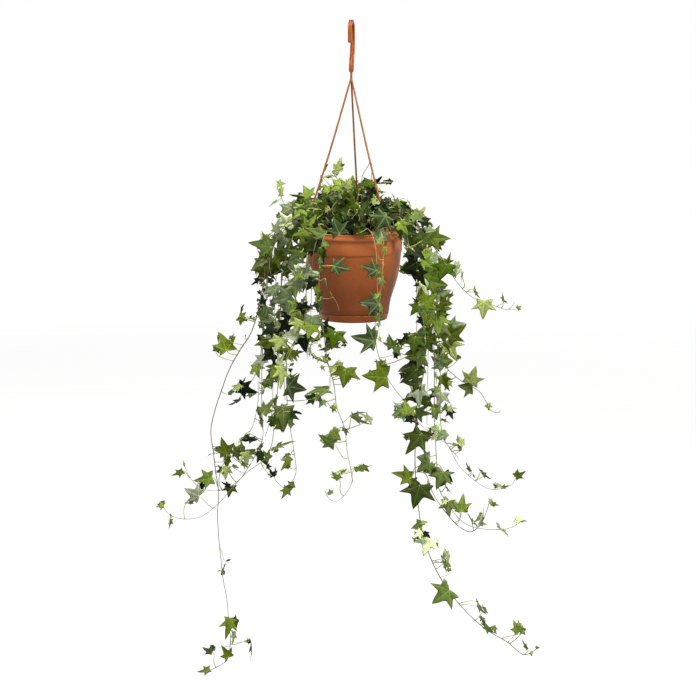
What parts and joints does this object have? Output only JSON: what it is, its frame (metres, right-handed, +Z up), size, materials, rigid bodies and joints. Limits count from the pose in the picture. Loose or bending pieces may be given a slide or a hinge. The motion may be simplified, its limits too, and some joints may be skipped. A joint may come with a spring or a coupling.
{
  "type": "potted ivy in a hanging pot",
  "caption": "Trailing ivy with lobed leaves in a round terracotta-coloured plastic hanging pot with a drip saucer, hung from a moulded hook by slender arms.",
  "frame": {"origin": "the point at the top of the hook's inside where it bears on what it hangs from", "axes": "+Z up, parallel to the pot's axis, which stands 3.5 mm to the +X side of the origin; -Y towards the front of the picture, +X to the right seen from the front"},
  "size_m": [0.5774, 0.2515, 0.9905],
  "materials": {
    "terracotta_plastic": "satin moulded plastic",
    "hanger_plastic": "flexible moulded plastic, semi-gloss",
    "potting_mix": "loose moist peat and bark mix",
    "ivy_vine": "waxy evergreen leaf on a thin woody stem",
    "ivy_shoot": "young waxy leaf on a soft green stem"
  },
  "bodies": {
    "root": {"pot": "terracotta_plastic", "drip_saucer": "terracotta_plastic", "potting_soil": "potting_mix", "hanger": "hanger_plastic", "ivy_vine_left_long": "ivy_vine", "ivy_vine_left_02": "ivy_vine", "ivy_vine_left_03": "ivy_vine", "ivy_vine_left_04": "ivy_vine", "ivy_vine_left_05": "ivy_vine", "ivy_vine_left_06": "ivy_vine", "ivy_vine_left_07": "ivy_vine", "ivy_vine_left_08": "ivy_vine", "ivy_vine_left_09": "ivy_vine", "ivy_vine_left_10": "ivy_vine", "ivy_vine_front_01": "ivy_vine", "ivy_vine_front_02": "ivy_vine", "ivy_vine_front_03": "ivy_vine", "ivy_vine_right_long": "ivy_vine", "ivy_vine_right_02": "ivy_vine", "ivy_vine_right_03": "ivy_vine", "ivy_vine_right_04": "ivy_vine", "ivy_vine_right_05": "ivy_vine", "ivy_vine_right_06": "ivy_vine", "ivy_vine_right_07": "ivy_vine", "ivy_vine_back_01": "ivy_vine", "ivy_vine_back_02": "ivy_vine", "ivy_vine_back_03": "ivy_vine", "ivy_crown_01": "ivy_shoot", "ivy_crown_02": "ivy_shoot", "ivy_crown_03": "ivy_shoot", "ivy_crown_04": "ivy_shoot", "ivy_crown_05": "ivy_shoot", "ivy_crown_06": "ivy_shoot", "ivy_crown_07": "ivy_shoot", "ivy_crown_08": "ivy_shoot", "ivy_crown_09": "ivy_shoot", "ivy_crown_10": "ivy_shoot", "ivy_crown_11": "ivy_shoot", "ivy_crown_12": "ivy_shoot", "ivy_crown_13": "ivy_shoot", "ivy_crown_14": "ivy_shoot", "ivy_crown_15": "ivy_shoot", "ivy_crown_16": "ivy_shoot"}
  },
  "joints": []
}
